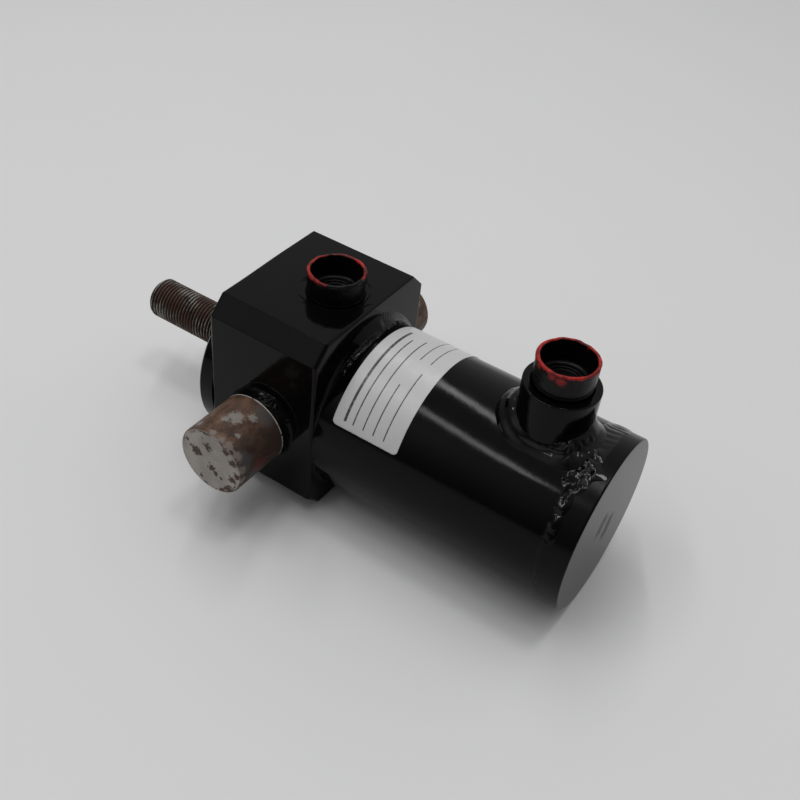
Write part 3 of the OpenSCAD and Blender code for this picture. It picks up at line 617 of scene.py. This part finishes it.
def bead(angle, across, pitch, seed, circle):
    """Ripples of a weld run, which overlap at the pitch and are bowed back across the bead, and its lumps."""
    where = ring_places(angle, circle, across * 3.0)
    phase = angle * circle / pitch + 0.9 * across**2 + 0.7 * unevenness(where, 6.0, seed, 2)
    ripple = 1.0 - np.abs(np.mod(phase, 1.0) * 2.0 - 1.0) ** 1.5
    return ripple - 0.5, unevenness(where, 4.5, seed + 5, 3)


def folds(points, size, seed):
    """Folded skin: the absolute value of an unevenness taken at places that another unevenness pushes about
    by a third of the size, so that round folds meet in winding valleys."""
    push = np.stack([unevenness(points, size, seed + k, 2) for k in (1, 2, 3)], axis=-1)
    return np.abs(unevenness(points + 0.35 * size * push, size, seed, 1))


def weld_run(name, node, toe_a, toe_b, back, lift, finish):
    """Weld run in a ring. Across the bead the surface goes from toe a to toe b on a straight line, raised by
    the lift away from a line hidden in the metal, through which the section closes."""
    t = np.linspace(0.0, 1.0, lift.shape[1])[None, :, None]
    flat = toe_a[:, None] * (1 - t) + toe_b[:, None] * t
    out = flat - back[:, None]
    out /= np.linalg.norm(out, axis=-1, keepdims=True)
    face = flat + out * lift[..., None]
    make_piece(name, [(np.concatenate([face, back[:, None]], axis=1), True, True)],
               finish, BODY, node)


def block_weld():
    """Fillet between the tube and the block's rear face: widest at the top, narrow at the sides where the
    block is flush with the tube. It is smooth, with fine ripples along its upper toe on the far side, a
    ridge where the run stopped, and a crumbly toe on the tube with two thin torn lips on the near side
    of the top."""
    angle, grid_angle, grid_t = run_grid(1200, 65)
    turn = np.degrees(angle)
    y, z = -np.sin(angle), np.cos(angle)
    slant = math.sqrt(0.5)
    corner = (BLOCK_Y + BLOCK_TOP - BLOCK_CHAMFER) * slant
    walls = ((1, 0, BLOCK_Y), (-1, 0, BLOCK_Y), (0, 1, BLOCK_TOP), (0, -1, -BLOCK_LOW),
             (slant, slant, corner), (-slant, slant, corner))
    facing = [(y * a + z * b, d) for a, b, d in walls]
    room = np.min([np.where(c > 1e-6, d / np.maximum(c, 1e-6), 1e3) for c, d in facing], axis=0)
    where = ring_places(angle, 40, 0)
    crown = 1.2 + 3.7 * hump(turn, 0.0, 38.0) + 0.25 * unevenness(where, 12.0, 21, 2)
    up = np.maximum(np.minimum(room - TUBE_R - 1.2, crown), 0.05)
    along = 0.6 + 3.4 * hump(turn, 3.0, 36.0) + 0.25 * unevenness(where, 9.0, 27, 2)
    spot = on_barrel(BLOCK_X + along[:, None] * grid_t, turn[:, None], TUBE_R + up[:, None] * (1 - grid_t))
    ripple, _ = bead(grid_angle, 2 * grid_t - 1, 1.35, 31, TUBE_R + 4.0)
    far_side = (ease(-turn, 6.0, 12.0) * ease(turn, -48.0, -34.0))[:, None]
    stop = ease(turn, -9.5, -4.0) * np.exp(-np.maximum(turn + 4.0, 0.0) / 7.0)
    crumbs = np.clip(unevenness(spot, 1.6, 33, 2) + 0.15, 0.0, 1.0) * np.minimum(1.0, along / 2.0)[:, None]
    near_top = (ease(turn, -2.0, 5.0) * ease(-turn, -46.0, -36.0))[:, None]
    lips = sum(hump(grid_t - 0.06 * unevenness(where, 1.2, seed, 2)[:, None], middle, 0.055)
               for middle, seed in ((0.72, 36), (0.93, 38)))
    arch = np.sin(math.pi * grid_t)
    lift = (arch * (0.50 * stop[:, None] - 0.09 * up[:, None] + 0.10 * unevenness(spot, 7.0, 35, 2))
            + 0.16 * far_side * ripple * hump(grid_t, 0.16, 0.13)
            + hump(grid_t, 0.90, 0.09) * (0.08 + crumbs)
            + 0.42 * near_top * lips)
    weld_run("block_weld_run", "block_weld", on_barrel(BLOCK_X - 0.05, turn, TUBE_R + up),
             on_barrel(BLOCK_X + along, turn, TUBE_R - 0.03),
             on_barrel(BLOCK_X - 0.3, turn, TUBE_R - 1.0), lift, weld_paint)


def cap_weld():
    """Weld round the end cap: a crowned run with ripples, broad over the top, and on the near side behind
    the port boss a mess of folds that trails off down the barrel, with a smooth tongue towards the end."""
    angle, grid_angle, grid_t = run_grid(1200, 65)
    turn = np.degrees(angle)
    where = ring_places(angle, 34, 0)
    broad = ease(turn, -60.0, -30.0) * ease(-turn, -42.0, -30.0)
    tongue = hump(turn, 20.5, 3.4)
    trail = ease(turn, 26.0, 36.0) * ease(-turn, -82.0, -62.0)
    ragged = 0.6 * unevenness(where, 3.4, 41, 2)
    front = TUBE_END - 1.925 - 3.0 * broad - 1.4 * trail + ragged * (1.0 + trail)
    rear = TUBE_END + 1.675 + 1.4 * broad - 0.4 * trail + 0.7 * unevenness(where, 3.8, 43, 2) + 4.0 * tongue
    x = front[:, None] + (rear - front)[:, None] * grid_t
    ripple, lump = bead(grid_angle, 2 * grid_t - 1, 3.3, 47, TUBE_R)
    spot = on_barrel(x, turn[:, None], TUBE_R)
    messy = ease(turn, 3.0, 9.0) * (1.0 - 0.45 * ease(turn, 34.0, 46.0)) * ease(-turn, -84.0, -58.0)
    crumple = 2.4 * folds(spot, 4.6, 59) + 0.35 * folds(spot, 1.9, 67) - 0.30
    flat = tongue[:, None] * ease(x - TUBE_END, 0.475, 3.475)
    pooled = np.clip((TUBE_END + 7.075 - x) / 4.5, 0.0, 1.0) * (0.70 + 0.30 * unevenness(spot, 2.6, 73, 2))
    arch = np.sin(math.pi * grid_t)
    low = np.clip(1.0 - np.abs(turn) / 180.0 * 0.75, 0.25, 1.0)[:, None]
    far_run = (0.4 + ease(-turn, -2.0, 12.0) * ease(turn, -75.0, -45.0))[:, None]
    even = low * (0.36 + 0.17 * far_run * ripple + 0.14 * lump)
    lift = arch**0.6 * ((1.0 - 0.6 * messy[:, None]) * even + messy[:, None] * crumple)
    lift = lift * (1.0 - flat) + pooled * flat
    face = on_barrel(x, turn[:, None], TUBE_R - 0.04 + np.maximum(lift, -0.02))
    hidden = on_barrel(TUBE_END, turn, TUBE_R - 2.0)
    make_piece("rear_cap_weld_run", [(np.concatenate([face, hidden[:, None]], axis=1), True, True)],
               thick_paint, BODY, "rear_cap_weld")


def pin(side, node):
    """Trunnion pin: a bar turned about Y with a rounded rim, its side, rim and end pitted by random dents."""
    path = rounded_path([(BLOCK_Y - 0.2, 0.0), (BLOCK_Y - 0.2, PIN_R), (PIN_END, PIN_R), (PIN_END, 0.0)],
                        [0, 0, 1.1, 0], 0.45, 8)
    points, normals, _ = turned(path, 220, (0, 0, 0), (0, side, 0))
    pits = np.clip(unevenness(points, 2.6, 61 + side, 3) - 0.18, 0.0, 1.0)
    dents = np.clip(unevenness(points, 5.0, 67 + side, 2) - 0.25, 0.0, 1.0)
    end = ease(np.abs(points[..., 1]), PIN_END - 1.5, PIN_END - 0.4)
    lift = -0.015 - (0.25 * pits + 0.25 * dents) * end - (1 - end) * 0.10 * pits
    lift *= (path[:, 0] > BLOCK_Y + 0.5)[None, :] * np.minimum(1.0, path[:, 1] / 0.4)[None, :]
    make_piece(node + "_bare", [(points + normals * lift[..., None], True, False)],
               pin_steel(node + "_steel", side), BODY, node)


def pin_weld(side, node):
    """Hollow fillet weld round a pin's root, from the block's side to the pin's paint edge, rough on top."""
    angle, grid_angle, grid_t = run_grid(520, 29)

    def ring(height, radius):
        return np.stack([radius * np.sin(angle), side * height + 0 * angle, radius * np.cos(angle)], axis=-1)

    where = ring_places(angle, 16, side * 5)
    toe = 14.1 + 1.2 * hump(angle, 0.5, 0.42) - 0.5 * hump(angle, -0.7, 0.6)
    ripple, lump = bead(grid_angle, 2 * grid_t - 1, 1.9, 77 + side, 15.5)
    rough = 0.20 + 0.80 * hump(grid_angle, 0.5, 0.42)
    spot = ring_places(grid_angle, 15, 4.0 * grid_t + side * 9.0)
    arch = np.sin(math.pi * grid_t)
    crust = 0.08 * ripple + 0.16 * lump + folds(spot, 1.7, 75) - 0.2
    weld_run(node + "_run", node, ring(BLOCK_Y - 0.05, toe + 0.2 * unevenness(where, 4.0, 71)),
             ring(PIN_PAINT - 0.28 + 0.12 * unevenness(where, 3.0, 73), PIN_R + 0.03),
             ring(BLOCK_Y - 0.4, PIN_R - 0.8), -0.40 * arch + arch**0.6 * rough * crust, weld_paint)


def port_boss():
    """Port boss: a bar turned about Z down into the tube, with a rounded top edge and the port inside it."""
    foot, floor, step = 27.0, BOSS_TOP - PASSAGE_DEPTH, BOSS_TOP - PORT_DEPTH
    path = rounded_path([(floor, 0.0), (floor, PASSAGE_R), (step, PASSAGE_R), (step, PORT_R),
                         (BOSS_TOP - MOUTH_DEPTH, PORT_R), (BOSS_TOP, PORT_MOUTH_R), (BOSS_TOP, BOSS_R),
                         (foot, BOSS_R), (foot, 0.0)], [0, 0, 0, 0, 0, 0.2, 0.4, 0, 0], 1.2, 5)
    points, _, _ = turned(path, 160, (BOSS_X, 0, 0), (0, 0, 1))
    make_piece("rear_port_boss_painted", [(points, True, False)],
               paint, BODY, "rear_port_boss")


def boss_weld():
    """Saddle weld round the boss: its outer toe lies on the tube, z^2 = R^2 - y^2, and its inner toe on the
    boss wall above the tube. It is a broad roll in two passes in front and a hollow fillet round the other
    sides. On the near side towards the end cap it has folds, an undercut and a thin bead on the boss."""
    angle, grid_angle, grid_t = run_grid(760, 57)
    front, rear = np.maximum(-np.cos(angle), 0.0) ** 1.5, np.maximum(np.cos(angle), 0.0)
    near = np.maximum(-np.sin(angle), 0.0)

    def saddle(radius, rise):
        x, y = BOSS_X + radius * np.cos(angle), radius * np.sin(angle)
        return np.stack([x, y, np.sqrt(TUBE_R**2 - y**2) + rise], axis=-1)

    where = ring_places(angle, 18, 0)
    toe = (16.0 + 2.9 * front + 2.0 * rear**2 - 0.8 * near**3 + 2.6 * hump(angle, -0.75, 0.38)
           + 0.3 * unevenness(where, 5.0, 83, 2))
    rise = 4.2 + 0.9 * front + 0.8 * rear - 0.8 * near**2 + 0.4 * unevenness(where, 5.0, 89, 2)
    spot = ring_places(grid_angle, 16, 6.0 * grid_t)
    behind = hump(grid_angle, -0.60, 0.42)
    wall_side = hump(grid_angle, -1.0, 0.5)
    thin_bead = hump(grid_t, 0.80, 0.11) * (1.5 * folds(spot, 4.0, 91) + 0.05)
    undercut = hump(grid_t, 0.56, 0.09)
    passes = np.sin(2.0 * math.pi * grid_t) ** 2
    arch = np.sin(math.pi * grid_t)
    lift = (arch * (-0.55 + 1.25 * front[:, None] + 0.22 * unevenness(spot, 6.0, 97, 2)
                    + 0.20 * front[:, None] * unevenness(spot, 2.4, 99, 2))
            + 0.40 * passes * front[:, None] + wall_side * (thin_bead - 0.35 * undercut)
            + behind * arch**0.5 * (2.2 * folds(spot, 4.2, 93) + 0.5 * folds(spot, 2.0, 95) - 0.25))
    weld_run("rear_boss_weld_run", "rear_boss_weld", saddle(toe, -0.04), saddle(BOSS_R - 0.03, rise),
             saddle(BOSS_R - 0.9, -0.8), lift, thick_paint)


def thread_and_rod():
    """Rod: turned about X. On the thread the radius goes from root to crest by a clipped triangle wave of
    the helix phase, place / pitch - turn / full turn, under a cone at the tip, and fades into the bar."""
    plain_r, tip_r = 7.8, 6.35
    tip = np.array([[ROD_TIP, 0.0], [ROD_TIP, 2.0], [ROD_TIP, 4.5], [ROD_TIP, 6.3]])
    thread_x = np.linspace(ROD_TIP + 0.05, THREAD_END, 520)
    thread_path = np.stack([thread_x, np.full(thread_x.shape, plain_r)], axis=1)
    bar = rounded_path([(THREAD_END + 0.05, ROD_R), (PISTON_FRONT, ROD_R), (PISTON_FRONT, STUD_R),
                        (STUD_END, STUD_R), (STUD_END, 0.0)], [0, 0.15, 0, 0.5, 0], 2.5, 4)
    path = np.concatenate([tip, thread_path, bar])
    points, _, angle = turned(path, 150, (0, 0, 0), (1, 0, 0))
    x = points[..., 0]
    phase = np.mod(x / PITCH - (angle / (2 * math.pi))[:, None], 1.0)
    wave = np.clip(np.abs(phase * 2.0 - 1.0) * 1.25 - 0.12, 0.0, 1.0)
    crest = THREAD_CREST_R - 0.05 * np.clip(unevenness(points, 2.5, 103, 3), 0.0, 1.0)
    radius = THREAD_ROOT_R + (crest - THREAD_ROOT_R) * wave
    radius = np.minimum(radius, tip_r + np.maximum(x - ROD_TIP, 0.0))
    radius = radius + (ROD_R - radius) * ease(x, THREAD_END - 1.2, THREAD_END)
    threaded = np.zeros(len(path), bool)
    threaded[len(tip):len(tip) + len(thread_x)] = True
    flat_radius = np.linalg.norm(points[..., 1:], axis=-1)
    factor = np.where(threaded[None, :], radius / np.maximum(flat_radius, 1e-6), 1.0)
    points[..., 1:] *= factor[..., None]
    make_piece("piston_rod_threaded", [(points, True, False)], rod_finish, "rod", "piston_rod")


def whisker(start, finish, sag):
    """Thin tapering hair of paint: a small ring carried along a line that sags by 4 sag t (1 - t) between
    its ends."""
    start, finish = np.asarray(start, float), np.asarray(finish, float)
    t = np.linspace(0.0, 1.0, 9)
    line = start * (1 - t)[:, None] + finish * t[:, None]
    line[:, 2] -= 4.0 * sag * t * (1.0 - t)
    way = (finish - start) / np.linalg.norm(finish - start)
    side = np.cross(way, (0.0, 0.0, 1.0))
    side /= np.linalg.norm(side)
    angle = np.linspace(0.0, 2.0 * math.pi, 7, endpoint=False)
    spoke = np.cos(angle)[:, None] * side + np.sin(angle)[:, None] * np.cross(side, way)
    radius = 0.25 * (1.0 - t) ** 0.6
    return line[None] + spoke[:, None, :] * radius[None, :, None]


def plug(node, body, x, seat, foot, gaps, drips, whiskers):
    """Shipping plug: a cup turned about Z with a flared, lumpy rim, a stepped floor, a shank in the port,
    and a foot of the given radius on the port's face. Hairs of paint hang from its side, each given by
    its turn in degrees, its reach and its drop."""
    rim_height = 8.9
    rim = seat + rim_height
    # height above the seat, radius and rounding of each corner, from the tip over the rim to the floor
    corners = np.array([(-8.5, 0.0, 0.0), (-8.5, 8.2, 0.6), (-2.5, 8.6, 0.3), (-0.3, 9.8, 0.2),
                        (0.1, foot, 0.25), (0.6, foot, 0.25), (0.9, 10.0, 0.2), (6.5, 10.05, 1.5),
                        (rim_height - 1.0, 10.25, 0.5), (rim_height, 10.25, 0.6), (rim_height, 8.75, 0.6),
                        (0.4, 8.5, 1.2), (0.4, 6.0, 0.3), (-0.4, 5.7, 0.3), (-0.4, 0.0, 0.0)])
    path = rounded_path(corners[:, :2] + (seat, 0.0), corners[:, 2], 0.4, 5)
    points, normals, _ = turned(path, 260, (x, 0, 0), (0, 0, 1))
    upper = ease(points[..., 2], rim - 2.6, rim - 0.6)
    lumps = 0.30 * unevenness(points, 2.4, 109, 2) - 0.12
    lift = lumps * upper + 0.03 * unevenness(points, 4.0, 111, 2) * (1 - upper)
    lift = np.where(points[..., 2] > rim - 0.3, np.minimum(lift, 0.0), lift)
    lift *= (path[:, 0] > seat + 1.0)[None, :]
    make_piece(node + "_cup", [(points + normals * lift[..., None], True, False)],
               plug_plastic(node + "_plastic", x, rim, gaps, drips), body, node)
    for count, (turn, out, drop) in enumerate(whiskers):
        way = np.array([math.cos(math.radians(turn)), math.sin(math.radians(turn)), 0.0])
        root = np.array([x, 0.0, rim - 3.6]) + way * 10.0
        hair = whisker(root, root + way * out - np.array([0.0, 0.0, drop]), 0.5)
        make_piece(f"{node}_hair_{count}", [(hair, True, False)], hair_paint, body)


def data_label():
    """Label: a thin sheet bent round the tube. Its corners are rounded by shortening the rows near its side
    edges."""
    corner, thick = 1.6, 0.14
    width, length = LABEL_X1 - LABEL_X0, math.radians(LABEL_NEAR - LABEL_FAR) * TUBE_R
    edge = corner * (1 - np.cos(np.linspace(0, math.pi / 2, 9)))
    v = np.concatenate([edge, np.linspace(corner, width - corner, 24)[1:-1], width - edge[::-1]])
    gap = np.clip(corner - np.minimum(v, width - v), 0.0, corner)
    inset = corner - np.sqrt(corner**2 - gap**2)
    u = np.linspace(0.0, 1.0, 140)[:, None]
    arc = inset[None, :] + u * (length - 2 * inset)[None, :]
    across = np.broadcast_to(v[None, :], arc.shape)
    turn = LABEL_NEAR - np.degrees(arc / TUBE_R)
    top = on_barrel(LABEL_X0 + across, turn, TUBE_R + thick)
    top_wave = 0.012 * unevenness(top, 9.0, 113, 2)
    top = on_barrel(LABEL_X0 + across, turn, TUBE_R + thick + top_wave)
    under = on_barrel(LABEL_X0 + across, turn, TUBE_R + 0.02)
    sides = [np.stack([top[0], under[0]]), np.stack([top[-1], under[-1]]),
             np.stack([top[:, 0], under[:, 0]]), np.stack([top[:, -1], under[:, -1]])]
    flat = np.stack([arc, across], axis=-1)
    maps = [flat, flat] + [np.stack([f, f]) for f in (flat[0], flat[-1], flat[:, 0], flat[:, -1])]
    make_piece("data_label_blank", [(p, False, False) for p in [top, under, *sides]], film_finish, BODY,
               "data_label", uv=np.concatenate([m.reshape(-1, 2) for m in maps]))


barrel_tube()
rear_cap()
head_block()
block_weld()
cap_weld()
for side, word in ((-1, "near"), (1, "far")):
    pin(side, "trunnion_pin_" + word)
    pin_weld(side, "trunnion_weld_" + word)
port_boss()
boss_weld()
thread_and_rod()
plug("head_port_plug", "head_plug", HEAD_PORT_X, BLOCK_TOP, 10.12, ((-32.0, 44.0), (142.0, 4.0)), (),
     ((-146.0, 3.4, 2.8), (40.0, 2.4, 4.2), (30.0, 3.4, 1.6), (-138.0, 2.0, 0.6)))
plug("rear_port_plug", "rear_plug", BOSS_X, BOSS_TOP + REAR_PLUG_PROUD, 9.6, (),
     (((87.0, -8.2, 56.3), 0.9), ((92.2, -10.2, 56.0), 1.1), ((95.6, -9.8, 55.4), 1.4)), ())
data_label()

for node, finish in {
    "gland": paint,
    "gland_o_ring": plain_finish("black_seal_rubber", (0.010, 0.010, 0.011), (0.022, 0.022, 0.023), 0.5),
    "gland_backup_ring": plain_finish("pale_backup_nylon", (0.50, 0.46, 0.36), (0.60, 0.56, 0.46), 0.5),
    "rod_seal": plain_finish("blue_grey_urethane", (0.050, 0.070, 0.090), (0.070, 0.095, 0.120), 0.42),
    "rod_wiper": plain_finish("black_wiper_urethane", (0.012, 0.012, 0.013), (0.026, 0.026, 0.027), 0.45),
    "rod_wear_ring": plain_finish("dark_wear_nylon", (0.050, 0.060, 0.048), (0.080, 0.092, 0.074), 0.5),
    "stop_tube": turned_steel("stop_tube_steel", (0.38, 0.37, 0.36), (0.52, 0.51, 0.50), 0.32),
    "piston": turned_steel("piston_cast_iron", (0.20, 0.20, 0.205), (0.30, 0.30, 0.305), 0.40),
    "piston_seal": plain_finish("bronze_piston_seal", (0.14, 0.080, 0.050), (0.20, 0.120, 0.078), 0.45),
    "piston_seal_expander": plain_finish("expander_rubber",
                                         (0.010, 0.010, 0.010), (0.020, 0.020, 0.020), 0.5),
    "piston_wear_ring": plain_finish("piston_wear_nylon", (0.055, 0.065, 0.052), (0.085, 0.098, 0.080), 0.5),
    "piston_o_ring": plain_finish("piston_seal_rubber", (0.010, 0.010, 0.010), (0.020, 0.020, 0.020), 0.5),
    "piston_nut": plain_finish("zinc_nut_steel", (0.36, 0.35, 0.33), (0.50, 0.49, 0.47), 0.35, 0.9),
}.items():
    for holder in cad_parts[node].material_slots:
        holder.material = finish


# Floor, light and camera

def pale_floor():
    """Pale matt table top under the block, with a faintly uneven tone."""
    size, z = 4.0, BLOCK_LOW * MM
    mesh = bpy.data.meshes.new("pale_floor")
    corners = [(-size, -size, z), (size, -size, z), (size, size, z), (-size, size, z)]
    mesh.from_pydata(corners, [], [(0, 1, 2, 3)])
    f = Finish("pale_table", Roughness=0.6, IOR=1.4)
    tone = f.mix(f.noise(9, 3), (0.848, 0.848, 0.850), (0.872, 0.872, 0.874))
    mesh.materials.append(f.feed(Base_Color=tone))
    floor = bpy.data.objects.new("pale_floor", mesh)
    bpy.context.scene.collection.objects.link(floor)


def soft_lamp(name, middle, length, width, power):
    """Soft rectangular lamp above the object and facing it, with its length along the camera's line of view
    as seen from above."""
    aim, line_of_view = (0.06, 0.0, 0.0), (0.48, -0.877, 0.0)
    data = bpy.data.lights.new(name, "AREA")
    data.shape, data.size, data.size_y, data.energy = "RECTANGLE", length, width, power
    lamp = bpy.data.objects.new(name, data)
    bpy.context.scene.collection.objects.link(lamp)
    at = np.array(middle)
    z = at - aim
    z /= np.linalg.norm(z)
    y = np.cross(z, line_of_view)
    y /= np.linalg.norm(y)
    x = np.cross(y, z)
    lamp.matrix_world = Matrix([[*row] for row in np.stack([x, y, z, at], axis=1)] + [[0, 0, 0, 1]])


# glows of the room: direction, slope and offset of the cosine to it, power and strength
ROOM_GLOWS = (((0.0, 0.8, 0.6), 0.5556, 0.4444, 2.0, 0.50),
              ((0.0, 0.35, 0.937), 1.0, 0.0, 3.0, 0.06),
              ((-0.40, -0.63, 0.66), 1.0, 0.0, 7.0, 0.40),
              ((-0.53, -0.59, 0.61), 1.0, 0.0, 40.0, 0.28))


def soft_room():
    """Room light: even and dim, with a broad glow from the far side, a faint one from above, and a broad and
    a narrow one from the near side of the rod. A glow is strength x (slope x cosine to its direction
    + offset)^power, and never negative."""
    world = bpy.data.worlds.new("soft_room")
    world.use_nodes = True
    bpy.context.scene.world = world
    room = Nodes(world.node_tree)
    way = room.add("ShaderNodeTexCoord").outputs["Generated"]
    total = 0.05
    for direction, slope, offset, power, strength in ROOM_GLOWS:
        cosine = room.add("ShaderNodeVectorMath", {0: way, 1: direction},
                          operation="DOT_PRODUCT").outputs["Value"]
        slant = room.math("MAXIMUM", room.plus(room.times(cosine, slope), offset), 0.0)
        total = room.plus(room.times(room.math("POWER", slant, power), strength), total)
    background = room.tree.nodes["Background"]
    room.tree.links.new(total, background.inputs["Strength"])
    background.inputs["Color"].default_value = (0.995, 0.997, 1.0, 1.0)


def photo_camera():
    """Camera at the viewing angle, above the near side of the end cap."""
    data = bpy.data.cameras.new("camera")
    data.lens, data.sensor_width, data.sensor_fit = 46.5746, 36.0, "HORIZONTAL"
    data.shift_x, data.shift_y, data.clip_start = -0.009186, 0.034014, 0.01
    camera = bpy.data.objects.new("camera", data)
    camera.location = (0.170871, -0.241395, 0.247603)
    camera.rotation_euler = [math.radians(a) for a in (47.4535, -5.6179, 33.3924)]
    bpy.context.scene.collection.objects.link(camera)
    bpy.context.scene.camera = camera


pale_floor()
soft_lamp("main_strip", (-0.222, 0.137, 1.2), 1.2, 0.06, 2.9)
soft_lamp("side_strip", (-0.42, -0.455, 1.2), 0.8, 0.08, 1.9)
soft_lamp("top_panel", (0.20, 0.09, 1.2), 0.22, 0.2, 1.3)
soft_room()
photo_camera()
bpy.context.scene.view_settings.view_transform = "Standard"
